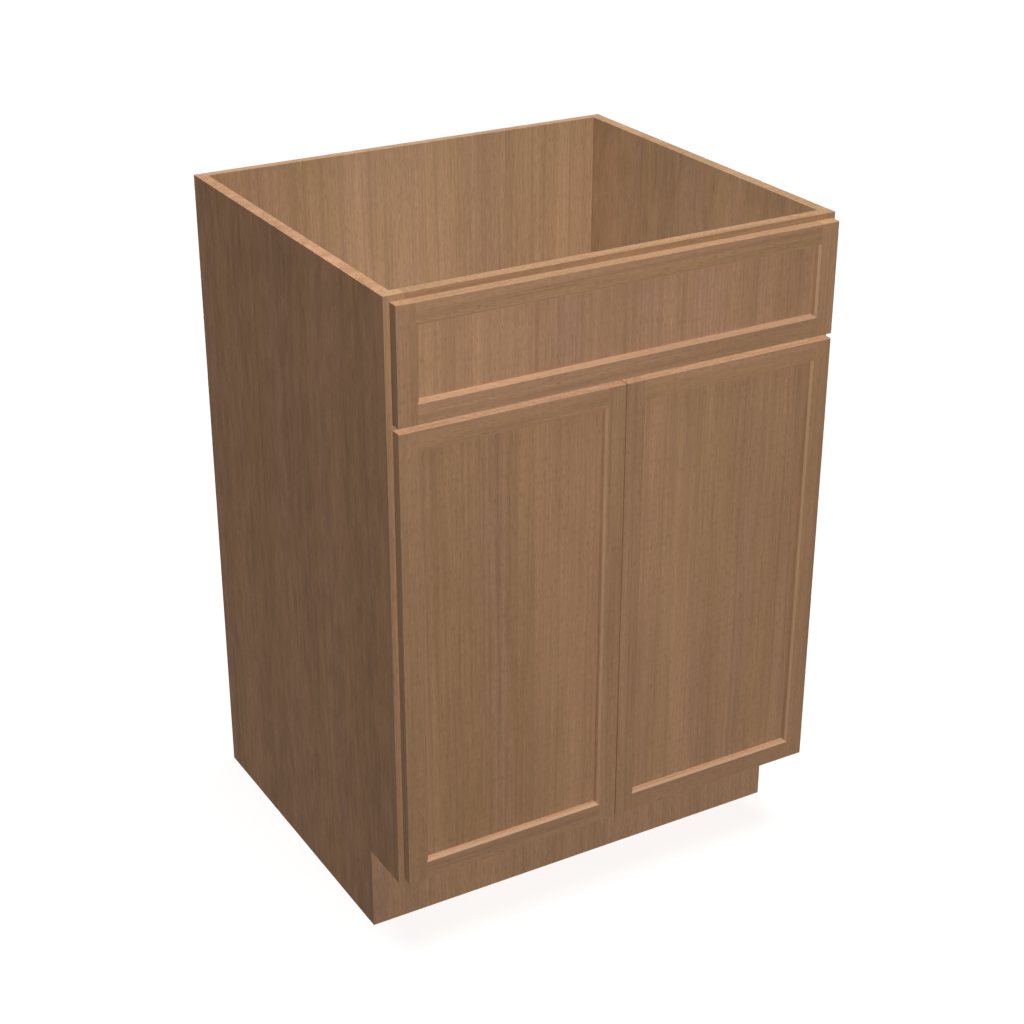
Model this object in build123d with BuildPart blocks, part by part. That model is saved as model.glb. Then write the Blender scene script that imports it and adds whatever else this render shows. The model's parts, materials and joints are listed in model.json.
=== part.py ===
from build123d import *

import os
from math import hypot, sqrt

# Sink base cabinet: a framed case with an open top, one fixed false drawer front and a pair of doors.
# Millimetres. +Z is up and the front looks towards -Y. The origin is on the floor, under the middle of
# the cabinet's own box with its fronts on. Left and right are as seen from the front.

# Case
case_width = 609.6
case_height = 876.3
case_depth = 533.4  # from the front of the face frame to the back
side_thickness = 15.0
back_thickness = 12.0
back_lap = 7.5  # how far the back laps over the edge of each side panel
floor_thickness = 15.0
floor_dado = 5.0  # how deep the floor sits in each side panel
toe_height = 114.3
toe_depth = 76.2  # from the front of the face frame to the toe-kick board
toe_board_thickness = 12.0

# Face frame
frame_thickness = 15.0
frame_stile_width = 25.4
frame_rail_width = 38.1
dowel_diameter = 8.0
dowel_length = 30.0
dowel_spacing = 20.0

# Fronts: two stiles, two rails and a flat panel each
front_thickness = 15.5
front_gap = 1.5  # between a front and the face frame
front_reveal = 6.35  # face frame left bare round and between the fronts
false_front_height = 142.9
pair_gap = 1.2  # between the two doors
member_face = 24.4  # flat width of a stile or rail
member_bevel = 2.6  # 45 degree bevel that falls from the flat towards the panel
member_slope = 1.5  # how far the step below the bevel leans in on its way down to the panel
panel_recess = 6.9  # from the face of a front to its panel
panel_thickness = 6.0
panel_cover = 7.0  # how far the panel reaches into the grooves of the stiles and rails
front_easing = 0.8
back_easing = 1.5
tenon_length = 9.0
tenon_thickness = 4.0
tenon_shoulder = 3.0
joinery_play = 0.25  # between a loose panel or board and the edges of its seat

# False front fixings
false_front_screw_inset = 75.0  # from the side of the case to each pair of screws
false_front_screw_grip = 10.0  # how deep a screw bites into the false front
spacer_diameter = 14.0
bumper_diameter = 8.0
bumper_inset = 12.0  # from the free edge of a door to the middle of its bumpers
bumper_clearance = 0.3

# Concealed hinge with one pin
hinge_from_end = 80.0  # from the top or bottom of a door to the middle of its hinge
pin_inset = 5.5  # from the outer edge of the door to the pin
pin_depth = 8.5  # from the back of the door to the pin
pin_diameter = 1.8
pin_end_cover = 0.45  # metal left at each end of the pin, inside the bore of the door
pin_running_clearance = 0.05
knuckle_radius = 1.6
strip_thickness = 1.5
arm_width = 6.0
bend_radius = 2.0
foot_width = 14.0
foot_setback = 2.0  # from the back of the face frame to the end of the arm's foot
hinge_play = 0.3
cup_tab = 2.5  # wood left between the outer edge of the door and the cup
cup_wall = 2.1
cup_floor = 1.1  # metal left between the arm's pocket and the bottom of the cup
flange_thickness = 1.0
flange_width = 18.0
flange_end = 4.0  # from the middle of each cup screw to the end of the flange
flange_corner = 4.0
cup_screw_margin = 3.0  # from the bore of the cup to the middle of each screw
plate_thickness = 1.5
plate_length = 50.0
plate_setback = 1.0
plate_screw_spacing = 36.0

# Wood screws: shank diameter, length, head diameter and head height
case_screw_diameter = 4.0
case_screw_head = 8.0
case_screw_head_height = 2.5
cup_screw_diameter = 2.5
cup_screw_length = 10.0
plate_screw_diameter = 3.0
plate_screw_length = 17.0
plate_screw_head = 5.6
plate_screw_head_height = 1.6
drive_depth = 0.6
drive_width = 0.9
screw_point = 2.0

# Levels across the depth
overall_depth = case_depth + front_gap + front_thickness
front_face = -overall_depth / 2
panel_front = front_face + panel_recess
panel_back = panel_front + panel_thickness
front_back = front_face + front_thickness
frame_front = front_back + front_gap
frame_back = frame_front + frame_thickness
frame_middle = (frame_front + frame_back) / 2
case_back = overall_depth / 2
back_front = case_back - back_thickness
toe_board_front = frame_front + toe_depth
toe_board_back = toe_board_front + toe_board_thickness

# Levels up the height
top_rail_bottom = case_height - frame_rail_width
bottom_rail_top = toe_height + frame_rail_width
floor_top = bottom_rail_top
floor_bottom = floor_top - floor_thickness
false_front_top = case_height - front_reveal
false_front_bottom = false_front_top - false_front_height
door_top = false_front_bottom - front_reveal
door_bottom = toe_height + front_reveal
middle_rail_bottom = (false_front_bottom + door_top - frame_rail_width) / 2
middle_rail_top = middle_rail_bottom + frame_rail_width
rail_bottoms = (toe_height, middle_rail_bottom, top_rail_bottom)
hinge_heights = {"upper": door_top - hinge_from_end, "lower": door_bottom + hinge_from_end}

# Levels across the width, on the left-hand side
case_left = -case_width / 2
side_inner = case_left + side_thickness
frame_stile_edge = case_left + frame_stile_width
door_left = case_left + front_reveal
door_right = -pair_gap / 2

# Fronts and hinges
member_width = member_face + member_bevel + member_slope
pin_x = door_left + pin_inset
pin_y = front_back - pin_depth
foot_left = frame_stile_edge + plate_thickness
foot_right = foot_left + strip_thickness
foot_end = frame_back - foot_setback
strip_front = pin_y - knuckle_radius
strip_back = strip_front + strip_thickness
pocket_left = pin_x - knuckle_radius - hinge_play
pocket_right = pin_x + hypot(foot_right - pin_x, knuckle_radius) + hinge_play
pocket_width = arm_width + 2 * hinge_play
pocket_front = strip_front - hinge_play
cup_left = door_left + cup_tab
cup_radius = (pocket_right + cup_wall - cup_left) / 2
cup_x = cup_left + cup_radius
cup_depth = pin_depth + knuckle_radius + hinge_play + cup_floor
pin_reach = cup_x - pin_x + pin_diameter / 2
pin_length = 2 * (sqrt(cup_radius**2 - pin_reach**2) - pin_end_cover)
cup_screw_spacing = 2 * (cup_radius + cup_screw_margin)
flange_length = cup_screw_spacing + 2 * flange_end
cup_screw_head = cup_screw_diameter + 2 * flange_thickness
plate_width = frame_thickness - 2 * plate_setback
case_screw_length = frame_thickness + front_gap + false_front_screw_grip
false_front_screw_places = [
    (side * (case_width / 2 - false_front_screw_inset), height)
    for side in (-1, 1)
    for height in ((false_front_top + top_rail_bottom) / 2, (false_front_bottom + middle_rail_top) / 2)
]


def across(level):
    """Upright plane at a level of the depth. It looks to the front, with x to the right and y up."""
    return Plane.XZ.offset(-level)


def save(part, name):
    """Write one finished piece under its own name."""
    part.label = name
    export_step(part, f"parts/{name}.step")


def save_pair(part, name):
    """Write a left-hand piece and the right-hand piece that mirrors it."""
    save(part, f"left_{name}")
    with BuildPart() as right_hand:
        mirror(part, about=Plane.YZ)
    save(right_hand.part, f"right_{name}")


# Case


def make_side_panel():
    """Left side panel with the toe notch, the floor's dado and the rabbet for the back."""
    with BuildPart() as side_panel:
        with BuildSketch(Plane.YZ.offset(case_left)):
            with BuildLine():
                Polyline(
                    (frame_back, toe_height),
                    (toe_board_back, toe_height),
                    (toe_board_back, 0),
                    (case_back, 0),
                    (case_back, case_height),
                    (frame_back, case_height),
                    close=True,
                )
            make_face()
        extrude(amount=side_thickness)
        with BuildSketch(Plane.YZ.offset(side_inner)):
            with Locations((frame_back, floor_bottom)):
                Rectangle(back_front - frame_back, floor_thickness, align=Align.MIN)
        extrude(amount=-floor_dado, mode=Mode.SUBTRACT)
        with BuildSketch(Plane.YZ.offset(side_inner)):
            with Locations((back_front, 0)):
                Rectangle(back_thickness, case_height, align=Align.MIN)
        extrude(amount=-back_lap, mode=Mode.SUBTRACT)
    return side_panel.part


def make_back_panel():
    """Back panel, seated in the rabbets of both side panels."""
    with BuildPart() as back_panel:
        with BuildSketch(across(case_back)):
            Rectangle(
                case_width - 2 * (side_thickness - back_lap), case_height, align=(Align.CENTER, Align.MIN)
            )
        extrude(amount=back_thickness)
    return back_panel.part


def make_floor_panel():
    """Floor of the cabinet, seated in the dadoes of both side panels."""
    with BuildPart() as floor_panel:
        with BuildSketch(Plane.XY.offset(floor_bottom)):
            with Locations((0, frame_back)):
                Rectangle(
                    case_width - 2 * (side_thickness - floor_dado),
                    back_front - frame_back,
                    align=(Align.CENTER, Align.MIN),
                )
        extrude(amount=floor_thickness)
    return floor_panel.part


def make_toe_kick_board():
    """Toe-kick board: full width across both side panels, and between them up to the floor."""
    with BuildPart() as toe_kick_board:
        with BuildSketch(across(toe_board_front)):
            Rectangle(case_width, toe_height, align=(Align.CENTER, Align.MIN))
            Rectangle(
                case_width - 2 * (side_thickness + joinery_play),
                floor_bottom,
                align=(Align.CENTER, Align.MIN),
            )
        extrude(amount=-toe_board_thickness)
    return toe_kick_board.part


# Face frame


def dowel_heights(rail_bottom):
    """Heights of the two dowels in each end of a rail."""
    rail_middle = rail_bottom + frame_rail_width / 2
    return (rail_middle - dowel_spacing / 2, rail_middle + dowel_spacing / 2)


def make_dowels():
    """Every dowel of the face frame: two in each end of each rail."""
    with BuildPart() as dowels:
        for edge in (frame_stile_edge, -frame_stile_edge):
            with BuildSketch(Plane.YZ.offset(edge)):
                for rail_bottom in rail_bottoms:
                    with Locations(*[(frame_middle, height) for height in dowel_heights(rail_bottom)]):
                        Circle(dowel_diameter / 2)
            extrude(amount=dowel_length / 2, both=True)
    return dowels.part


def make_frame_stile(dowels):
    """Left face-frame stile, drilled for the dowels and the screws of the hinge plates."""
    with BuildPart() as frame_stile:
        with BuildSketch(across(frame_front)):
            with Locations((case_left, toe_height)):
                Rectangle(frame_stile_width, case_height - toe_height, align=Align.MIN)
        extrude(amount=-frame_thickness)
        add(dowels, mode=Mode.SUBTRACT)
        with BuildSketch(Plane.YZ.offset(frame_stile_edge)):
            for hinge_height in hinge_heights.values():
                with Locations(*plate_screw_places(hinge_height)):
                    Circle(plate_screw_diameter / 2)
                with Locations((frame_middle, hinge_height)):
                    Circle(plate_screw_diameter / 2)
        extrude(amount=-plate_screw_length, mode=Mode.SUBTRACT)
    return frame_stile.part


def make_frame_rail(rail_bottom, dowels):
    """Face-frame rail between the stiles, drilled for its dowels and any screw of the false front."""
    with BuildPart() as frame_rail:
        with BuildSketch(across(frame_front)):
            with Locations((0, rail_bottom)):
                Rectangle(-2 * frame_stile_edge, frame_rail_width, align=(Align.CENTER, Align.MIN))
        extrude(amount=-frame_thickness)
        add(dowels, mode=Mode.SUBTRACT)
        with BuildSketch(across(frame_front)):
            with Locations(*false_front_screw_places):
                Circle(case_screw_diameter / 2)
        extrude(amount=-frame_thickness, mode=Mode.SUBTRACT)
    return frame_rail.part


# Fronts


def front_rectangle(left, right, bottom, top, inset):
    """Middle and size of a front's outline moved in by the same inset on all four sides."""
    middle = ((left + right) / 2, (bottom + top) / 2)
    size = (right - left - 2 * inset, top - bottom - 2 * inset)
    return middle, size


def make_front_blank(outline):
    """The whole front as one slab with its outer edges eased."""
    middle, size = front_rectangle(*outline, 0)
    with BuildPart() as blank:
        with BuildSketch(across(front_back)):
            with Locations(middle):
                Rectangle(*size)
        extrude(amount=front_thickness)
        fillet(blank.faces().sort_by(Axis.Y)[0].edges(), front_easing)
        fillet(blank.faces().sort_by(Axis.Y)[-1].edges(), back_easing)
    return blank.part


def make_front_opening(outline):
    """What the stiles and rails leave open: a bevel and a steep step down to the panel, square behind."""
    sections = {
        front_face: member_face,
        front_face + member_bevel: member_face + member_bevel,
        panel_front: member_width,
    }
    with BuildPart() as opening:
        for level, inset in sections.items():
            middle, size = front_rectangle(*outline, inset)
            with BuildSketch(across(level)):
                with Locations(middle):
                    Rectangle(*size)
        loft(ruled=True)
        middle, size = front_rectangle(*outline, member_width)
        with BuildSketch(across(front_back)):
            with Locations(middle):
                Rectangle(*size)
        extrude(amount=front_back - panel_front)
    return opening.part


def make_panel(outline, play):
    """Flat panel held in the grooves of the stiles and rails, or the room of its seat with play 0."""
    middle, size = front_rectangle(*outline, member_width - panel_cover + play)
    with BuildPart() as panel:
        with BuildSketch(across(panel_back)):
            with Locations(middle):
                Rectangle(*size)
        extrude(amount=panel_thickness)
    return panel.part


def make_tenons(outline):
    """The tenons at both ends of both rails, run on into the rails that carry them."""
    left, right, bottom, top = outline
    joints = (left + member_face, right - member_face)
    rails = (bottom + member_face / 2, top - member_face / 2)
    with BuildPart() as tenons:
        with BuildSketch(across(front_face + (panel_recess + tenon_thickness) / 2)):
            with Locations(*[(joint, rail) for joint in joints for rail in rails]):
                Rectangle(2 * tenon_length, member_face - 2 * tenon_shoulder)
        extrude(amount=tenon_thickness)
    return tenons.part


def make_member(outline, corners):
    """The stile or rail of a front that fills the room between the given corners, without tenons."""
    with BuildPart() as member:
        add(make_front_blank(outline))
        with BuildSketch(across(front_back)):
            with BuildLine():
                Polyline(*corners, close=True)
            make_face()
        extrude(amount=front_thickness, mode=Mode.INTERSECT)
        add(make_front_opening(outline), mode=Mode.SUBTRACT)
        add(make_panel(outline, 0), mode=Mode.SUBTRACT)
    return member.part


def stile_corners(edge, inward, bottom, top):
    """Corners of a stile: as wide as its flat beside the rails, and mitred with them at the bevel."""
    flat = edge + inward * member_face
    foot = edge + inward * member_width
    return [
        (edge, bottom),
        (flat, bottom),
        (flat, bottom + member_face),
        (foot, bottom + member_width),
        (foot, top - member_width),
        (flat, top - member_face),
        (flat, top),
        (edge, top),
    ]


def rail_corners(left, right, edge, inward):
    """Corners of a rail between the flats of both stiles, mitred with them at the bevel."""
    flat = edge + inward * member_face
    foot = edge + inward * member_width
    return [
        (left + member_face, edge),
        (left + member_face, flat),
        (left + member_width, foot),
        (right - member_width, foot),
        (right - member_face, flat),
        (right - member_face, edge),
    ]


def make_front(outline):
    """The five pieces of a front: two stiles, two rails between them and the panel."""
    left, right, bottom, top = outline
    stiles = {
        "left_stile": stile_corners(left, 1, bottom, top),
        "right_stile": stile_corners(right, -1, bottom, top),
    }
    rails = {
        "top_rail": rail_corners(left, right, top, -1),
        "bottom_rail": rail_corners(left, right, bottom, 1),
    }
    tenons = make_tenons(outline)
    pieces = {"panel": make_panel(outline, joinery_play)}
    for name, corners in stiles.items():
        with BuildPart() as stile:
            add(make_member(outline, corners))
            add(tenons, mode=Mode.SUBTRACT)
        pieces[name] = stile.part
    for name, corners in rails.items():
        with BuildPart() as rail_tenons:
            with BuildSketch(across(front_back)):
                with Locations(((left + right) / 2, corners[0][1])):
                    Rectangle(right - left, 2 * member_width)
            extrude(amount=front_thickness)
            add(tenons, mode=Mode.INTERSECT)
        with BuildPart() as rail:
            add(make_member(outline, corners))
            add(rail_tenons.part)
        pieces[name] = rail.part
    return pieces


# Screws


def make_screw(diameter, length, head_diameter, head_height, countersunk):
    """Wood screw along -Z with its seat at the origin: the head's underside, or a sunk head's top."""
    head_top = 0 if countersunk else head_height
    with BuildPart() as screw:
        with BuildSketch(Plane.XZ):
            with BuildLine():
                Polyline(
                    (0, head_top),
                    (head_diameter / 2, head_top),
                    *([] if countersunk else [(head_diameter / 2, 0)]),
                    (diameter / 2, head_top - head_height),
                    (diameter / 2, screw_point - length),
                    (0, -length),
                    close=True,
                )
            make_face()
        revolve(axis=Axis.Z)
        with BuildSketch(Plane.XY.offset(head_top)):
            Rectangle(head_diameter / 2, drive_width)
            Rectangle(drive_width, head_diameter / 2)
        extrude(amount=-drive_depth, mode=Mode.SUBTRACT)
    return screw.part


def place_screws(screw, seats, into):
    """Copies of a screw with their seats at the given points, driven in the given direction."""
    with BuildPart() as screws:
        with Locations(*[Plane(origin=seat, z_dir=-Vector(*into)) for seat in seats]):
            add(screw)
    return screws.part


# False front fixings


def make_false_front_spacers():
    """Washers that keep the false front as far from the face frame as the doors."""
    with BuildPart() as spacers:
        with BuildSketch(across(frame_front)):
            with Locations(*false_front_screw_places):
                Circle(spacer_diameter / 2)
                Circle(case_screw_diameter / 2, mode=Mode.SUBTRACT)
        extrude(amount=front_gap)
    return spacers.part


def drill_false_front(part):
    """A piece of the false front with the holes of its screws."""
    with BuildPart() as drilled:
        add(part)
        with BuildSketch(across(front_back)):
            with Locations(*false_front_screw_places):
                Circle(case_screw_diameter / 2)
        extrude(amount=false_front_screw_grip, mode=Mode.SUBTRACT)
    return drilled.part


# Hinges


def plate_screw_places(hinge_height):
    """Depth and height of the two screws of a hinge plate."""
    return [(frame_middle, hinge_height + side * plate_screw_spacing / 2) for side in (-1, 1)]


def cup_screw_places(hinge_height):
    """Place across the door and height of the two screws of a hinge cup."""
    return [(cup_x, hinge_height + side * cup_screw_spacing / 2) for side in (-1, 1)]


def drill_for_hinges(part):
    """A piece of the left door with the bores of its cups and of their screws."""
    with BuildPart() as drilled:
        add(part)
        for hinge_height in hinge_heights.values():
            with BuildSketch(across(front_back)):
                with Locations((cup_x, hinge_height)):
                    Circle(cup_radius)
            extrude(amount=cup_depth, mode=Mode.SUBTRACT)
            with BuildSketch(across(front_back)):
                with Locations(*cup_screw_places(hinge_height)):
                    Circle(cup_screw_diameter / 2)
            extrude(amount=cup_screw_length - flange_thickness, mode=Mode.SUBTRACT)
    return drilled.part


def make_hinge_cup(hinge_height):
    """Die-cast cup in the back of the door, with its flange and the pocket that the arm swings in."""
    flange_face = front_back + flange_thickness
    with BuildPart() as cup:
        with BuildSketch(across(front_back)):
            with Locations((cup_x, hinge_height)):
                Circle(cup_radius)
        extrude(amount=cup_depth)
        with BuildSketch(across(flange_face)):
            with Locations((cup_x, hinge_height)):
                RectangleRounded(flange_width, flange_length, flange_corner)
        extrude(amount=flange_thickness)
        with BuildSketch(across(flange_face)):
            with Locations(((pocket_left + pocket_right) / 2, hinge_height)):
                Rectangle(pocket_right - pocket_left, pocket_width)
        extrude(amount=flange_face - pocket_front, mode=Mode.SUBTRACT)
        with Locations((pin_x, pin_y, hinge_height)):
            Cylinder(pin_diameter / 2, pin_length, mode=Mode.SUBTRACT)
        screw_seats = [(x, flange_face, height) for x, height in cup_screw_places(hinge_height)]
        with Locations(*[Plane(origin=seat, z_dir=(0, 1, 0)) for seat in screw_seats]):
            CounterSinkHole(
                cup_screw_diameter / 2, cup_screw_head / 2, depth=flange_thickness, counter_sink_angle=90
            )
    return cup.part


def make_hinge_pin(hinge_height):
    """Pin that the arm's knuckle turns on, held in both sides of the cup."""
    with BuildPart() as pin:
        with Locations((pin_x, pin_y, hinge_height)):
            Cylinder(pin_diameter / 2, pin_length)
    return pin.part


def make_hinge_arm(hinge_height):
    """Bent strip: knuckle round the pin, strap inside the cup, leg past the stile and foot on the plate."""
    with BuildPart() as arm:
        with BuildSketch(Plane.XY.offset(hinge_height - arm_width / 2)):
            with BuildLine():
                Polyline(
                    (pin_x, strip_front),
                    (foot_right, strip_front),
                    (foot_right, foot_end),
                    (foot_left, foot_end),
                    (foot_left, strip_back),
                    (pin_x, strip_back),
                    close=True,
                )
            make_face()
            with Locations((pin_x, pin_y)):
                Circle(knuckle_radius)
        extrude(amount=arm_width)
        outer_bend = (foot_right, strip_front, hinge_height)
        fillet(arm.edges().filter_by(Axis.Z).sort_by_distance(outer_bend)[0], bend_radius)
        with BuildSketch(Plane.YZ.offset(foot_left)):
            with Locations(((frame_front + plate_setback + foot_end) / 2, hinge_height)):
                Rectangle(foot_end - frame_front - plate_setback, foot_width)
        extrude(amount=strip_thickness)
        with BuildSketch(Plane.YZ.offset(foot_left)):
            with Locations((frame_middle, hinge_height)):
                Circle(plate_screw_diameter / 2)
        extrude(amount=strip_thickness, mode=Mode.SUBTRACT)
        with Locations((pin_x, pin_y, hinge_height)):
            Cylinder(pin_diameter / 2 + pin_running_clearance, arm_width, mode=Mode.SUBTRACT)
    return arm.part


def make_hinge_plate(hinge_height):
    """Base plate on the inner edge of the face-frame stile."""
    with BuildPart() as plate:
        with BuildSketch(Plane.YZ.offset(frame_stile_edge)):
            with Locations((frame_middle, hinge_height)):
                RectangleRounded(plate_width, plate_length, bend_radius)
                Circle(plate_screw_diameter / 2, mode=Mode.SUBTRACT)
            with Locations(*plate_screw_places(hinge_height)):
                Circle(plate_screw_diameter / 2, mode=Mode.SUBTRACT)
        extrude(amount=plate_thickness)
    return plate.part


def make_cup_screws(hinge_height):
    """The two countersunk screws of a cup."""
    screw = make_screw(cup_screw_diameter, cup_screw_length, cup_screw_head, flange_thickness, True)
    seats = [(x, front_back + flange_thickness, height) for x, height in cup_screw_places(hinge_height)]
    return place_screws(screw, seats, (0, -1, 0))


def make_plate_screws(hinge_height):
    """The two screws of a base plate, and the third that clamps the arm's foot on it."""
    head = (plate_screw_head, plate_screw_head_height, False)
    plate_screw = make_screw(plate_screw_diameter, plate_screw_length, *head)
    plate_seats = [(foot_left, *place) for place in plate_screw_places(hinge_height)]
    with BuildPart() as plate_screws:
        add(place_screws(plate_screw, plate_seats, (-1, 0, 0)))
        add(place_screws(plate_screw, [(foot_right, frame_middle, hinge_height)], (-1, 0, 0)))
    return plate_screws.part


def make_door_bumpers():
    """Two soft pads on the free edge of the left door, one over each rail that it closes on."""
    heights = ((door_top + middle_rail_bottom) / 2, (door_bottom + bottom_rail_top) / 2)
    with BuildPart() as bumpers:
        with BuildSketch(across(front_back)):
            with Locations(*[(door_right - bumper_inset, height) for height in heights]):
                Circle(bumper_diameter / 2)
        extrude(amount=bumper_clearance - front_gap)
    return bumpers.part


os.makedirs("parts", exist_ok=True)

save_pair(make_side_panel(), "side_panel")
save(make_back_panel(), "back_panel")
save(make_floor_panel(), "floor_panel")
save(make_toe_kick_board(), "toe_kick_board")

frame_dowels = make_dowels()
save(frame_dowels, "frame_dowels")
save_pair(make_frame_stile(frame_dowels), "frame_stile")
for rail_name, rail_bottom in zip(("bottom", "middle", "top"), rail_bottoms):
    save(make_frame_rail(rail_bottom, frame_dowels), f"frame_{rail_name}_rail")

for piece_name, piece in make_front((door_left, -door_left, false_front_bottom, false_front_top)).items():
    save(drill_false_front(piece), f"false_front_{piece_name}")
false_front_screw = make_screw(
    case_screw_diameter, case_screw_length, case_screw_head, case_screw_head_height, False
)
screw_seats = [(x, frame_back, height) for x, height in false_front_screw_places]
save(place_screws(false_front_screw, screw_seats, (0, -1, 0)), "false_front_screws")
save(make_false_front_spacers(), "false_front_spacers")

door_pieces = make_front((door_left, door_right, door_bottom, door_top))
save_pair(drill_for_hinges(door_pieces["left_stile"]), "door_hinge_stile")
save_pair(drill_for_hinges(door_pieces["panel"]), "door_panel")
save_pair(door_pieces["right_stile"], "door_meeting_stile")
save_pair(door_pieces["top_rail"], "door_top_rail")
save_pair(door_pieces["bottom_rail"], "door_bottom_rail")
save_pair(make_door_bumpers(), "door_bumpers")

for place, hinge_height in hinge_heights.items():
    save_pair(make_hinge_cup(hinge_height), f"{place}_hinge_cup")
    save_pair(make_hinge_pin(hinge_height), f"{place}_hinge_pin")
    save_pair(make_hinge_arm(hinge_height), f"{place}_hinge_arm")
    save_pair(make_hinge_plate(hinge_height), f"{place}_hinge_plate")
    save_pair(make_cup_screws(hinge_height), f"{place}_hinge_cup_screws")
    save_pair(make_plate_screws(hinge_height), f"{place}_hinge_plate_screws")
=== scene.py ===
import json
import math

import bpy
from mathutils import Matrix, Vector


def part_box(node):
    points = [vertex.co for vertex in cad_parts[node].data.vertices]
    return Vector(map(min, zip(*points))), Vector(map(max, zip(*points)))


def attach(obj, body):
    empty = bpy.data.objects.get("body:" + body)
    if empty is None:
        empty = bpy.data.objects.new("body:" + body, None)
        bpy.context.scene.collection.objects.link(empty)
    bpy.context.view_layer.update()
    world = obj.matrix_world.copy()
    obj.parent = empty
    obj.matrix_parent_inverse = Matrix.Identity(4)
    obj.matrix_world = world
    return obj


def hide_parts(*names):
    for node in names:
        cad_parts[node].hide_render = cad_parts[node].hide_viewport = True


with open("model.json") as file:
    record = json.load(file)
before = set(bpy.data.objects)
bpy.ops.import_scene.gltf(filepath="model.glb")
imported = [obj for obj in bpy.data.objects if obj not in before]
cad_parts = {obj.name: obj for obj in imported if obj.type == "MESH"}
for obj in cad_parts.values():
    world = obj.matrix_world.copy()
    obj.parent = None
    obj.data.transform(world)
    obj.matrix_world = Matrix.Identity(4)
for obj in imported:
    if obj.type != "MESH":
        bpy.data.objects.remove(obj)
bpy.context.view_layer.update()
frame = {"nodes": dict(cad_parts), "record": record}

# Sink base cabinet in brown stained oak. Metres, +Z up, the front towards -Y.

MM = 0.001
WHITE = (1.0, 1.0, 1.0)

# The framed fronts: the names of their stiles, rails and panels start with these
FRONTS = ("false_front", "left_door", "right_door")


# Shader expressions


class Value:
    """A socket that can be used in sums; every operation adds its own Math node."""

    def __init__(self, nodes, socket):
        self.nodes = nodes
        self.socket = socket

    def math(self, operation, *operands):
        return self.nodes.add("ShaderNodeMath", {"operation": operation}, operands)

    def __add__(self, other):
        return self.math("ADD", self, other)

    def __radd__(self, other):
        return self.math("ADD", other, self)

    def __sub__(self, other):
        return self.math("SUBTRACT", self, other)

    def __rsub__(self, other):
        return self.math("SUBTRACT", other, self)

    def __mul__(self, other):
        return self.math("MULTIPLY", self, other)

    def __rmul__(self, other):
        return self.math("MULTIPLY", other, self)

    def lower(self, other):
        return self.math("MINIMUM", self, other)

    def upper(self, other):
        return self.math("MAXIMUM", self, other)


class Nodes:
    """A node tree, emptied first, that is written as expressions."""

    def __init__(self, tree):
        self.tree = tree
        tree.nodes.clear()

    def add(self, kind, settings, inputs, output=0):
        """Adds a node, sets or links its sockets by number or name, and gives one of its outputs."""
        node = self.tree.nodes.new(kind)
        for key, setting in settings.items():
            setattr(node, key, setting)
        pairs = inputs.items() if isinstance(inputs, dict) else enumerate(inputs)
        for key, value in pairs:
            self.put(node.inputs[key], value)
        return Value(self, node.outputs[output]) if len(node.outputs) else None

    def put(self, socket, value):
        """Links a socket to a value, or sets it to a number or a colour."""
        if isinstance(value, Value):
            self.tree.links.new(value.socket, socket)
        elif isinstance(value, tuple):
            socket.default_value = (*value, 1.0)
        else:
            socket.default_value = value


class Finish(Nodes):
    """A material whose nodes feed a Principled shader."""

    def __init__(self, name):
        self.material = bpy.data.materials.new(name)
        self.material.use_nodes = True
        super().__init__(self.material.node_tree)
        surface = self.add("ShaderNodeBsdfPrincipled", {}, ())
        self.shader = surface.socket.node
        self.add("ShaderNodeOutputMaterial", {}, {"Surface": surface})

    def set(self, **inputs):
        """Sets or links the shader's own sockets, with underscores for the spaces in their names."""
        for key, value in inputs.items():
            self.put(self.shader.inputs[key.replace("_", " ")], value)

    def place(self):
        """The three object coordinates of the surface point, in metres."""
        point = self.add("ShaderNodeTexCoord", {}, (), "Object")
        return [self.add("ShaderNodeSeparateXYZ", {}, (point,), axis) for axis in range(3)]

    def noise(self, point, cells, detail, roughness=0.5, distortion=0.0):
        """Noise between 0 and 1, about 0.5, with so many cells per metre, alike or along each axis."""
        counts = cells if isinstance(cells, tuple) else (cells,) * 3
        scaled = [axis * count for axis, count in zip(point, counts)]
        vector = self.add("ShaderNodeCombineXYZ", {}, scaled)
        inputs = {"Vector": vector, "Scale": 1.0, "Detail": detail}
        inputs.update({"Roughness": roughness, "Distortion": distortion})
        return self.add("ShaderNodeTexNoise", {}, inputs)

    def step(self, value, low, high):
        """Rises smoothly from 0 at low to 1 at high, or falls where low is above high."""
        rising = low < high
        inputs = {"Value": value, "From Min": min(low, high), "From Max": max(low, high)}
        inputs.update({"To Min": 0.0 if rising else 1.0, "To Max": 1.0 if rising else 0.0})
        return self.add("ShaderNodeMapRange", {"interpolation_type": "SMOOTHSTEP"}, inputs)

    def mix(self, factor, first, second, blend="MIX"):
        """The first colour where the factor is 0, blended with the second where it is 1."""
        settings = {"data_type": "RGBA", "blend_type": blend}
        return self.add("ShaderNodeMix", settings, {0: factor, 6: first, 7: second}, 2)

    def scale(self, colour, factor):
        """A colour made lighter or darker by a factor."""
        inputs = {0: colour, "Scale": factor}
        return self.add("ShaderNodeVectorMath", {"operation": "SCALE"}, inputs)

    def bump(self, height, distance, strength):
        """Turns the shader's normal by a height whose unit stands for a distance in metres."""
        inputs = {"Strength": strength, "Distance": distance, "Height": height}
        self.set(Normal=self.add("ShaderNodeBump", {}, inputs))


# Stained oak

# Linear colours
OAK_WARM = (0.3285, 0.1870, 0.1085)
OAK_OLIVE = (0.3255, 0.1890, 0.0985)
OAK_DARK = (0.190, 0.100, 0.054)
OAK_PORE = (0.120, 0.062, 0.034)
# The worn colour of rubbed edges, also used as the painted highlight on the moulded bevels
OAK_WORN_AND_HIGHLIGHT = (0.470, 0.310, 0.200)
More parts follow.
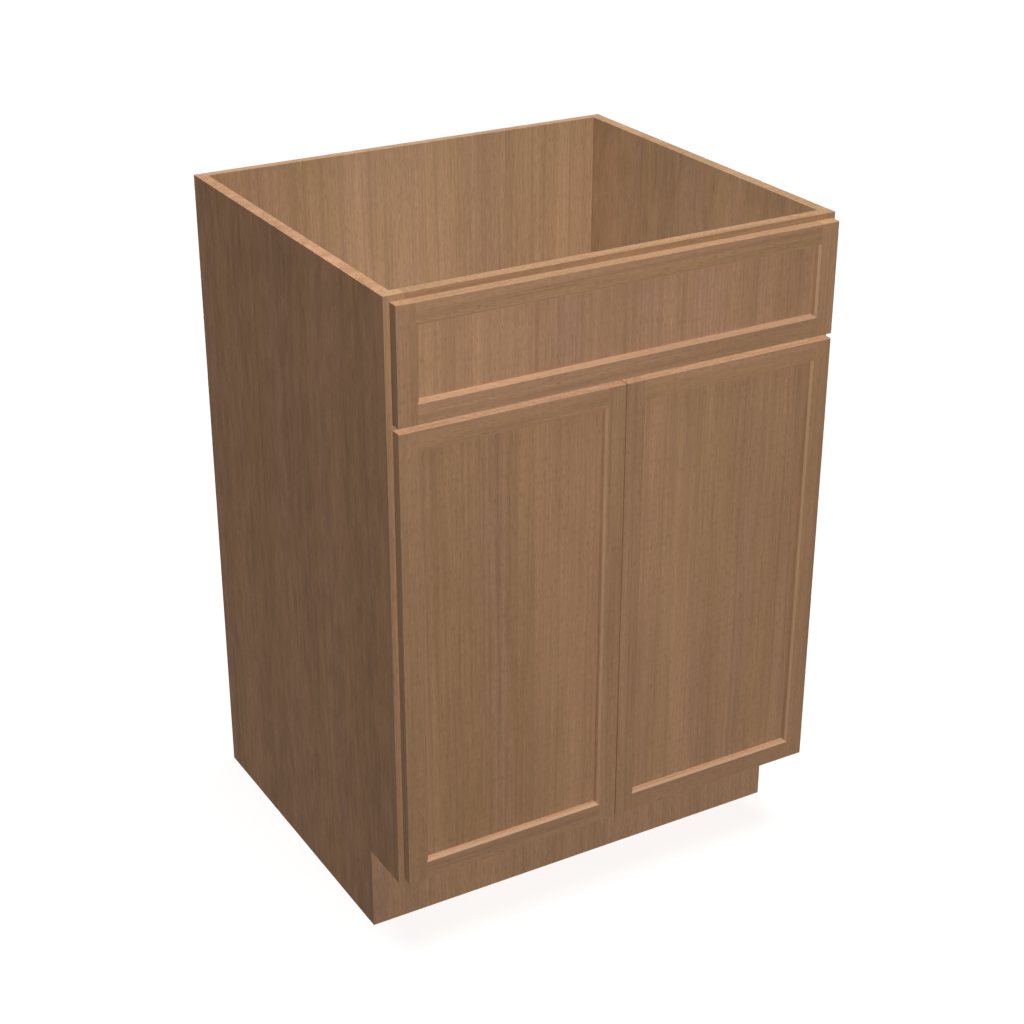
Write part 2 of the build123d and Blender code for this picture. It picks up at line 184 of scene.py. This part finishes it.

# Factors of the oak's colour on some whole boards, on their top edges, and on their left edges. Most
# whole-board factors are how the stain took; those of the toe kick board, the back panel and the right side
# panel are painted light, which lifts the recessed toe board and cools the warm bounced light inside the
# cabinet
EVEN_TONE = (1.00, 1.00, 1.00)
BOARD_TONES_AND_LIGHT = {
    "back_panel": (0.99, 1.05, 1.09),
    "right_side_panel": (0.97, 1.01, 1.02),
    "toe_kick_board": (1.01, 1.04, 1.08),
    "frame_top_rail": (0.91, 0.92, 0.93),
    "left_frame_stile": (0.99, 1.02, 1.01),
    "left_side_panel": (1.04, 1.01, 1.03),
    "false_front_left_stile": (0.88, 0.86, 0.86),
    "false_front_panel": (1.06, 1.05, 1.12),
    "false_front_top_rail": (1.01, 1.01, 1.02),
    "left_door_hinge_stile": (0.91, 0.92, 0.91),
    "left_door_meeting_stile": (1.02, 1.03, 1.07),
    "left_door_bottom_rail": (0.97, 0.98, 0.99),
    "right_door_panel": (0.99, 1.00, 1.00),
    "right_door_meeting_stile": (0.96, 0.97, 0.98),
    "right_door_hinge_stile": (0.96, 0.96, 0.94),
    "right_door_bottom_rail": (0.88, 0.87, 0.93),
}
# Painted shade on the brightly lit top edge of the false front, and painted light on the door top edges in
# the false front's shade and on the back panel's top edge
TOP_EDGE_PAINTED_LIGHT = {
    "false_front_top_rail": (0.88, 0.89, 0.86),
    "left_door_top_rail": (0.97, 1.02, 1.06),
    "right_door_top_rail": (0.97, 1.02, 1.06),
    "back_panel": (1.05, 1.05, 1.07),
}
# Painted light on the left edges of the fronts, which get less light than their faces
LEFT_EDGE_PAINTED_LIGHT = {
    "left_frame_stile": (1.06, 1.00, 1.04),
    "false_front_left_stile": (0.97, 1.04, 1.11),
    "left_door_hinge_stile": (1.09, 1.12, 1.18),
}
# An edge's band, for its painted light and shade and its specks, starts this far in from the edge, and is
# full this far in
EDGE_BAND = (0.5 * MM, 0.1 * MM)

# How strongly a painted highlight in the worn colour lights up the moulded bevels, how far the clouds
# change that, and the bevels that differ from the rest
BEVEL_HIGHLIGHT = 0.28
BEVEL_HIGHLIGHT_CLOUD = 0.15
BEVEL_HIGHLIGHTS = {
    "false_front_bottom_rail": 0.16,
    "false_front_right_stile": 0.50,
    "left_door_bottom_rail": 0.55,
    "right_door_bottom_rail": 0.42,
    "right_door_top_rail": 0.08,
    "right_door_hinge_stile": 0.45,
}
# A bevel starts and ends this far in from the edge of its front, and goes this far back from the
# face: each is where its painted highlight is nothing, and where it is full
BEVEL_START = (24.1 * MM, 24.6 * MM)
BEVEL_END = (27.2 * MM, 26.8 * MM)
BEVEL_BACK = (4.0 * MM, 3.0 * MM)

# Veneered boards with short flecks in place of long fine strands, from 0 to 1
PLAIN_FLECKS = 0.1
FLECKS = {"left_side_panel": 1.0, "right_side_panel": 0.8, "toe_kick_board": 0.4, "false_front_panel": 0.3}

# Each board is cut from its own place in the timber: metres between one and the next, in the two
# directions across the grain, and along it
BOARD_SHIFT = (1.37, 0.71, 2.13)

# The grain sways: cells per metre across and along it, detail, and how far it carries the figure
# and the growth line
SWAY = (3, 1.3, 1)
FIGURE_SWAY = 10 * MM
LINE_SWAY = 4 * MM

# The figure, layer by layer: cells per metre across and along the grain, detail, roughness, and
# how strongly it shades a plain board and a flecked one
FIGURE = {
    "board": (9, 0.5, 1, 0.5, 0.35, 0.35),
    "cloud": (30, 2.4, 2, 0.5, 0.38, 0.38),
    "rings": (170, 1.5, 2, 0.5, 0.65, 0.40),
    "fibre": (230, 90, 1, 0.5, 0.16, 0.16),
    "strands": (1300, 42, 2, 0.6, 0.32, 0.15),
    "streaks": (620, 9, 1, 0.5, 0.32, 0.16),
    "flecks": (75, 20, 2, 0.5, 0.00, 0.62),
}
# The stain's own shade, which the figure makes lighter and darker
STAIN_SHADE = 1.03
# Sawn top edges take the stain in small specks
SPECK_CELLS = 360
SPECK_SHADE = 0.60

# Marks in the grain: cells per metre across and along it, detail, and the noise at which a mark
# starts and is full
PORES = (2300, 105, 0, 0.60, 0.74)
DARK_LINES = (75, 0.7, 1, 0.66, 0.78)
OLIVE_STREAKS = (22, 0.9, 1, 0.30, 0.70)
PORES_IN_RINGS = 0.45
PORE_DEPTH = 0.36
DARK_LINE_DEPTH = 0.22

# A long dark growth line in a panel: its place across the cabinet, its half width where it starts
# and where it is full, its depth, and how far the clouds change that
GROWTH_LINES = {"left_door_panel": -121 * MM}
GROWTH_LINE_BAND = (2.6 * MM, 0.8 * MM)
GROWTH_LINE_DEPTH = 0.9
GROWTH_LINE_CLOUD = 1.6

# Rubbed edges: the band they cover, the noise that breaks them up, and how far they wear
RUBBED_BAND = (0.9 * MM, 0.1 * MM)
RUBBED_CELLS = 45
RUBBED_LEVELS = (0.42, 0.70)
RUBBED_DEPTH = 0.35

# Matt lacquer: its roughness, what clouds and pores add to that and wear takes off, its gloss,
# and the depth and strength of the grain that shows through it
LACQUER_ROUGHNESS = 0.56
UNEVEN_ROUGHNESS = 0.16
WORN_SMOOTHNESS = 0.30
LACQUER_GLOSS = 0.02
OAK_RELIEF = (0.06 * MM, 0.8)


def grain_axes(node_name, point):
    """The point in the two directions across the grain, and along it."""
    x, y, z = point
    if node_name.endswith("rail"):
        return z, y, x
    if node_name == "floor_panel":
        return x, z, y
    return x, y, z


def grain_noise(finish, grain, across, along, detail, roughness=0.5):
    """Noise with so many cells per metre across the grain, and so many along it."""
    return finish.noise(grain, (across, across, along), detail, roughness)


def mark(finish, grain, kind, lift=0.0):
    """1 in the marks of one kind, and 0 between them; the lift makes them more common."""
    *texture, start, full = kind
    return finish.step(grain_noise(finish, grain, *texture) + lift, start, full)


def edge_distance(point, low, high):
    """Distance of a surface point to the nearest edge of its piece's own box."""
    first, second, third = [
        (axis - start).lower(end - axis) for axis, start, end in zip(point, low, high)
    ]
    # On a face of the box one of the three is 0, and the middle one is the way to its nearest edge
    return first.lower(second).upper(first.upper(second).lower(third))


def front_outline(front):
    """The lowest and the highest x and z of a framed front, over its stiles."""
    stiles = [name for name in frame["nodes"] if name.startswith(front) and name.endswith("stile")]
    low = [min(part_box(stile)[0][axis] for stile in stiles) for axis in (0, 2)]
    high = [max(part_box(stile)[1][axis] for stile in stiles) for axis in (0, 2)]
    return low, high


def moulded_bevel(finish, point, front, face):
    """1 on the moulded bevel round the panel of a front whose face is at this y, and 0 elsewhere."""
    x, y, z = point
    (left, bottom), (right, top) = front_outline(front)
    reach = (x - left).lower(right - x).lower(z - bottom).lower(top - z)
    band = finish.step(reach, *BEVEL_START) * finish.step(reach, *BEVEL_END)
    return band * finish.step(y - face, *BEVEL_BACK)


def oak(node_name, seed):
    """Rift-sawn oak under brown stain and matt lacquer, for one board of the cabinet."""
    finish = Finish(f"oak_{node_name}")
    low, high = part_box(node_name)
    flecked = FLECKS.get(node_name, PLAIN_FLECKS)
    point = finish.place()
    x, y, z = point

    across, deep, along = [
        axis + shift * seed for axis, shift in zip(grain_axes(node_name, point), BOARD_SHIFT)
    ]
    sway = grain_noise(finish, (across, deep, along), *SWAY) - 0.5
    grain = (across + sway * FIGURE_SWAY, deep, along)

    figure = {}
    shade = STAIN_SHADE
    for layer, (*texture, plain_depth, flecked_depth) in FIGURE.items():
        figure[layer] = grain_noise(finish, grain, *texture) - 0.5
        shade = shade + figure[layer] * (plain_depth + (flecked_depth - plain_depth) * flecked)
    cloud, rings, strands = figure["cloud"], figure["rings"], figure["strands"]
    top_edge = finish.step(high[2] - z, *EDGE_BAND)
    specks = finish.noise(point, SPECK_CELLS, 1) - 0.5
    shade = shade + top_edge * specks * SPECK_SHADE

    pores = mark(finish, grain, PORES, rings * PORES_IN_RINGS)
    lines = mark(finish, grain, DARK_LINES)
    if node_name in GROWTH_LINES:
        off_line = (x + sway * LINE_SWAY - GROWTH_LINES[node_name]).math("ABSOLUTE")
        depth = GROWTH_LINE_DEPTH + cloud * GROWTH_LINE_CLOUD
        lines = lines.upper(finish.step(off_line, *GROWTH_LINE_BAND) * depth)

    wear_and_highlight = finish.step(edge_distance(point, low, high), *RUBBED_BAND)
    wear_and_highlight = wear_and_highlight * finish.step(finish.noise(point, RUBBED_CELLS, 2), *RUBBED_LEVELS) * RUBBED_DEPTH
    # On the fronts' moulded bevels, a painted highlight in the worn colour is added to the rubbed edges
    if node_name.startswith(FRONTS) and node_name.endswith(("stile", "rail")):
        front = next(name for name in FRONTS if node_name.startswith(name))
        bevel = moulded_bevel(finish, point, front, low[1])
        highlight = BEVEL_HIGHLIGHTS.get(node_name, BEVEL_HIGHLIGHT)
        wear_and_highlight = wear_and_highlight.upper(bevel * (highlight + cloud * BEVEL_HIGHLIGHT_CLOUD))

    # Each board's factor: mostly the stain's tone, but painted light on the toe kick board, back panel and
    # right side panel
    tone_and_light = BOARD_TONES_AND_LIGHT.get(node_name, EVEN_TONE)
    warm, olive = [tuple(c * t for c, t in zip(stain, tone_and_light)) for stain in (OAK_WARM, OAK_OLIVE)]
    colour = finish.scale(finish.mix(mark(finish, grain, OLIVE_STREAKS), warm, olive), shade)
    colour = finish.mix(lines * DARK_LINE_DEPTH, colour, OAK_DARK)
    colour = finish.mix(pores * PORE_DEPTH, colour, OAK_PORE)
    colour = finish.mix(wear_and_highlight, colour, OAK_WORN_AND_HIGHLIGHT)
    # Painted light and shade on the top and left edges
    if node_name in TOP_EDGE_PAINTED_LIGHT:
        colour = finish.mix(top_edge, colour, TOP_EDGE_PAINTED_LIGHT[node_name], "MULTIPLY")
    if node_name in LEFT_EDGE_PAINTED_LIGHT:
        left_edge = finish.step(x - low[0], *EDGE_BAND)
        colour = finish.mix(left_edge, colour, LEFT_EDGE_PAINTED_LIGHT[node_name], "MULTIPLY")

    roughness = LACQUER_ROUGHNESS + (cloud + pores) * UNEVEN_ROUGHNESS - wear_and_highlight * WORN_SMOOTHNESS
    finish.set(Base_Color=colour, Roughness=roughness, Specular_IOR_Level=LACQUER_GLOSS)
    finish.bump(0.5 + rings * 0.3 + strands * 0.5 - pores * 0.5, *OAK_RELIEF)
    return finish.material


# Dowels, fittings, pads and washers

# The noise at which a finish is all of its first colour, and all of its second
MOTTLE = (0.3, 0.7)

# Cells per metre are given as one number or along x, y and z, and a relief by its depth and strength
BEECH_LIGHT = (0.66, 0.48, 0.31)
BEECH_DARK = (0.55, 0.38, 0.23)
BEECH_GRAIN_CELLS = (8, 260, 260)
BEECH_TICK_CELLS = (90, 900, 900)
BEECH_TICKS = (0.62, 0.70)
BEECH_RELIEF = (0.05 * MM, 0.5)

NICKEL_BRIGHT = (0.69, 0.67, 0.63)
NICKEL_DULL = (0.52, 0.50, 0.47)
ZINC_BRIGHT = (0.70, 0.71, 0.74)
ZINC_DULL = (0.50, 0.52, 0.56)
FILM_CELLS = 190
BRUSHED_CELLS = (4200, 4200, 260)
GRAINY_CELLS = 4200
SCRATCH_CELLS = (900, 2600, 700)
SCRATCH_BEND = 1.4
SCRATCHES = (0.66, 0.72)
PLATE_RELIEF = (0.02 * MM, 0.7)

PAD_PALE = (0.62, 0.62, 0.60)
PAD_DARK = (0.50, 0.50, 0.48)
PAD_ROUGHNESS = 0.35
NYLON_PALE = (0.80, 0.78, 0.72)
NYLON_DARK = (0.70, 0.68, 0.62)
NYLON_ROUGHNESS = 0.40
PATCH_CELLS = 240
SKIN_CELLS = 3800
SKIN_RELIEF = (0.03 * MM, 0.6)


def beech(name):
    """Bare beech of the dowels, its grain along the rails."""
    finish = Finish(name)
    point = finish.place()
    grain = finish.noise(point, BEECH_GRAIN_CELLS, 3, 0.6)
    ticks = finish.step(finish.noise(point, BEECH_TICK_CELLS, 1), *BEECH_TICKS)
    colour = finish.mix(finish.step(grain, *MOTTLE), BEECH_DARK, BEECH_LIGHT)
    colour = finish.mix(ticks * 0.4, colour, BEECH_DARK)
    finish.set(Base_Color=colour, Roughness=0.55 + grain * 0.2)
    finish.bump(grain, *BEECH_RELIEF)
    return finish.material


def plated_steel(name, bright, dull, texture_cells):
    """Plated steel, brushed along the height or finely grained, with a dull film and scratches."""
    finish = Finish(name)
    point = finish.place()
    film = finish.noise(point, FILM_CELLS, 4, 0.6)
    texture = finish.noise(point, texture_cells, 2)
    scratches = finish.noise(point, SCRATCH_CELLS, 1, 0.5, SCRATCH_BEND)
    scratches = finish.step(scratches, *SCRATCHES)
    colour = finish.mix(finish.step(film, *MOTTLE), dull, bright)
    colour = finish.mix(scratches * 0.35, colour, bright)
    roughness = 0.24 + film * 0.18 + texture * 0.10 - scratches * 0.06
    finish.set(Base_Color=colour, Metallic=1.0, Roughness=roughness)
    finish.bump(texture * 0.5 + film * 0.5 - scratches * 0.4, *PLATE_RELIEF)
    return finish.material


def moulded(name, pale, dark, roughness):
    """Moulded soft pad or nylon washer: fine grained skin, a little uneven in colour."""
    finish = Finish(name)
    point = finish.place()
    patches = finish.noise(point, PATCH_CELLS, 3)
    skin = finish.noise(point, SKIN_CELLS, 2)
    colour = finish.mix(finish.step(patches, *MOTTLE), dark, pale)
    finish.set(Base_Color=colour, Roughness=roughness + skin * 0.2)
    finish.bump(skin, *SKIN_RELIEF)
    return finish.material


# Finishes on the CAD nodes

EDGE_WOOD = 0.25 * MM
EDGE_METAL = 0.12 * MM
WELD_REACH = 0.001 * MM
SHARP_ANGLE = math.radians(40)


def dress(piece, material):
    """Gives a piece one material all over."""
    piece.data.materials.clear()
    piece.data.materials.append(material)


def soften(node, width):
    """Breaks the sharp edges of a CAD node by a small bevel, on top of its own mesh."""
    weld = node.modifiers.new("weld", "WELD")
    weld.merge_threshold = WELD_REACH
    bevel = node.modifiers.new("broken_edges", "BEVEL")
    bevel.width = width
    bevel.segments = 2
    bevel.limit_method = "ANGLE"
    bevel.angle_limit = SHARP_ANGLE


finishes = {
    "nickel_steel": plated_steel("nickel_plate", NICKEL_BRIGHT, NICKEL_DULL, BRUSHED_CELLS),
    "zinc_steel": plated_steel("zinc_plate", ZINC_BRIGHT, ZINC_DULL, GRAINY_CELLS),
    "bumper_pad": moulded("soft_pad", PAD_PALE, PAD_DARK, PAD_ROUGHNESS),
    "spacer_nylon": moulded("nylon", NYLON_PALE, NYLON_DARK, NYLON_ROUGHNESS),
    "dowel_beech": beech("beech"),
}
slots = {part["node"]: part["material_slot"] for part in frame["record"]["subparts"]}
for seed, (node_name, node) in enumerate(sorted(frame["nodes"].items()), start=1):
    slot = slots[node_name]
    if slot == "stained_oak":
        dress(node, oak(node_name, seed))
        if not node_name.startswith(FRONTS):
            soften(node, EDGE_WOOD)
    else:
        dress(node, finishes[slot])
        if slot in ("nickel_steel", "zinc_steel"):
            soften(node, EDGE_METAL)


# Door bumpers

PAD_SIDES = 48
# The dome of a pad: the height of its straight wall as a share of the thickness, then each
# ring's way in, as a share of the radius, and up, as a share of the thickness
PAD_BASE = 0.35
PAD_RINGS = ((0.05, 0.24), (0.12, 0.20), (0.18, 0.12), (0.24, 0.07), (0.24, 0.02))
PAD_SMOOTH_ANGLE = math.radians(50)


def domed_pad(radius, thickness):
    """Soft round pad that stands on the origin and swells towards +Y, ring by ring."""
    bpy.ops.object.select_all(action="DESELECT")
    base = thickness * PAD_BASE
    bpy.ops.mesh.primitive_cylinder_add(
        vertices=PAD_SIDES,
        radius=radius,
        depth=base,
        location=(0, base / 2, 0),
        rotation=(-math.pi / 2, 0, 0),
    )
    pad = bpy.context.object
    bpy.ops.object.transform_apply(location=True, rotation=True, scale=True)
    bpy.ops.object.mode_set(mode="EDIT")
    bpy.ops.mesh.select_mode(type="FACE")
    bpy.ops.mesh.select_all(action="DESELECT")
    bpy.ops.object.mode_set(mode="OBJECT")
    # Only the cap that looks along +Y is inset
    for face in pad.data.polygons:
        face.select = face.normal.y > 0.9
    bpy.ops.object.mode_set(mode="EDIT")
    for inward, upward in PAD_RINGS:
        bpy.ops.mesh.inset(thickness=inward * radius, depth=upward * thickness)
    bpy.ops.object.mode_set(mode="OBJECT")
    bpy.ops.object.shade_smooth_by_angle(angle=PAD_SMOOTH_ANGLE)
    return pad


def bumper_pads(node_name, body):
    """The two domed pads of one door, as one piece in place of its plain discs."""
    low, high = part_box(node_name)
    radius = (high[0] - low[0]) / 2
    middle = (low[0] + high[0]) / 2
    lower = domed_pad(radius, high[1] - low[1])
    lower.location = (middle, low[1], low[2] + radius)
    bpy.ops.object.duplicate(linked=False)
    pads = bpy.context.object
    pads.location = (middle, low[1], high[2] - radius)
    lower.select_set(True)
    bpy.ops.object.join()
    bpy.ops.object.transform_apply(location=True, rotation=True, scale=True)
    pads.name = f"{body}_bumper_pads"
    dress(pads, finishes["bumper_pad"])
    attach(pads, body)
    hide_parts(node_name)


bumper_pads("left_door_bumpers", "left_door")
bumper_pads("right_door_bumpers", "right_door")


# Floor and room

FLOOR_SIZE = 60.0
# How pale the floor is for the light that it throws back, how pale the camera and reflections see
# it, the glow that lifts it to white there, and how strongly the room lights the cabinet
FLOOR_BOUNCE = 0.08
FLOOR_SEEN = 0.60
FLOOR_GLOW = 0.09
ROOM_LIGHT = 0.064


def background_ray(nodes):
    """1 where a ray comes from the camera, a reflection or clear glass, and 0 for bounced light."""
    camera_ray, glossy_ray, clear_ray = [
        nodes.add("ShaderNodeLightPath", {}, (), f"Is {kind} Ray")
        for kind in ("Camera", "Glossy", "Transmission")
    ]
    return camera_ray.upper(glossy_ray).upper(clear_ray)


def pale_floor(name):
    """Floor that looks white but throws little light back, and keeps the cabinet's shadow."""
    material = bpy.data.materials.new(name)
    material.use_nodes = True
    nodes = Nodes(material.node_tree)
    bounced = nodes.add("ShaderNodeBsdfDiffuse", {}, {"Color": (FLOOR_BOUNCE,) * 3})
    seen = nodes.add("ShaderNodeBsdfDiffuse", {}, {"Color": (FLOOR_SEEN,) * 3})
    glow = nodes.add("ShaderNodeEmission", {}, {"Strength": FLOOR_GLOW})
    seen = nodes.add("ShaderNodeAddShader", {}, (seen, glow))
    surface = nodes.add("ShaderNodeMixShader", {}, (background_ray(nodes), bounced, seen))
    nodes.add("ShaderNodeOutputMaterial", {}, {"Surface": surface})
    return material


def white_room(name):
    """World that looks white but lights the cabinet only a little."""
    world = bpy.data.worlds.new(name)
    world.use_nodes = True
    nodes = Nodes(world.node_tree)
    light = nodes.add("ShaderNodeBackground", {}, {"Color": WHITE, "Strength": ROOM_LIGHT})
    seen = nodes.add("ShaderNodeBackground", {}, {"Color": WHITE, "Strength": 1.0})
    surface = nodes.add("ShaderNodeMixShader", {}, (background_ray(nodes), light, seen))
    nodes.add("ShaderNodeOutputWorld", {}, {"Surface": surface})
    return world


bpy.ops.object.select_all(action="DESELECT")
bpy.ops.mesh.primitive_plane_add(size=FLOOR_SIZE, location=(0, 0, 0))
floor = bpy.context.object
floor.name = "floor"
dress(floor, pale_floor("pale_floor"))
bpy.context.scene.world = white_room("studio")


# Lamps


def lamp_towards(name, kind, place, target, shadow):
    """A lamp at a place, turned towards a target. The camera doesn't see it, and reflections show
    it only if it casts shadows."""
    lamp = bpy.data.objects.new(name, bpy.data.lights.new(name, kind))
    bpy.context.scene.collection.objects.link(lamp)
    lamp.location = place
    lamp.rotation_euler = (Vector(target) - Vector(place)).to_track_quat("-Z", "Y").to_euler()
    lamp.data.use_shadow = shadow
    lamp.visible_camera = False
    lamp.visible_glossy = shadow
    return lamp


def softbox(name, place, target, size, power, spread, shadow, colour=WHITE):
    """Square area lamp, in metres and watts, with its spread in degrees."""
    lamp = lamp_towards(name, "AREA", place, target, shadow)
    lamp.data.size = size
    lamp.data.spread = math.radians(spread)
    lamp.data.energy = power
    lamp.data.color = colour


def broad_light(name, direction, level, width, shadow):
    """Even light from a direction, with its width in degrees; at level 1 a surface that faces it
    shows its own colour."""
    lamp = lamp_towards(name, "SUN", direction, (0, 0, 0), shadow)
    lamp.data.energy = level * math.pi
    lamp.data.angle = math.radians(width)


COOL = (0.80, 1.0, 1.10)
broad_light("key", (-0.43, -0.87, 0.20), 0.22, 10, shadow=False)
broad_light("floor_light", (-0.31, -0.57, -0.76), 0.47, 10, shadow=False)
broad_light("overhead", (0.04, -0.06, 1.0), 1.08, 10, shadow=False)
broad_light("overhead_soft", (0.05, -0.10, 1.0), 0.32, 35, shadow=True)
broad_light("rear_fill", (0.15, 0.98, 0.12), 0.50, 10, shadow=False)
broad_light("right_fill", (1.0, 0.05, 0.0), 0.21, 10, shadow=False)
softbox("front_softbox", (-0.38, -0.85, 1.42), (0.0, -0.2, 0.6), 0.50, 3.3, 180, shadow=False)
softbox("opening_fill", (-0.27, -0.10, 0.70), (0.29, 0.05, 0.74), 0.12, 0.54, 130, shadow=True, colour=COOL)


# Camera, as solved from the photograph's edges

CAMERA_PLACE = (-1.19759, -2.06838, 1.59259)
CAMERA_AZIMUTH = math.radians(-29.973)
CAMERA_ELEVATION = math.radians(25.628)
CAMERA_LENS = 70.115
CAMERA_SHIFT = (0.00643, -0.00374)
SENSOR_WIDTH = 36.0

back = Vector(
    (
        math.sin(CAMERA_AZIMUTH) * math.cos(CAMERA_ELEVATION),
        -math.cos(CAMERA_AZIMUTH) * math.cos(CAMERA_ELEVATION),
        math.sin(CAMERA_ELEVATION),
    )
)
right = Vector((math.cos(CAMERA_AZIMUTH), math.sin(CAMERA_AZIMUTH), 0))
up = back.cross(right)
turn = Matrix((right, up, back)).transposed().to_4x4()
camera_data = bpy.data.cameras.new("camera")
camera_data.sensor_width = SENSOR_WIDTH
camera_data.lens = CAMERA_LENS
camera_data.shift_x, camera_data.shift_y = CAMERA_SHIFT
camera = bpy.data.objects.new("camera", camera_data)
bpy.context.scene.collection.objects.link(camera)
camera.matrix_world = Matrix.Translation(CAMERA_PLACE) @ turn
bpy.context.scene.camera = camera
bpy.context.scene.view_settings.view_transform = "Standard"
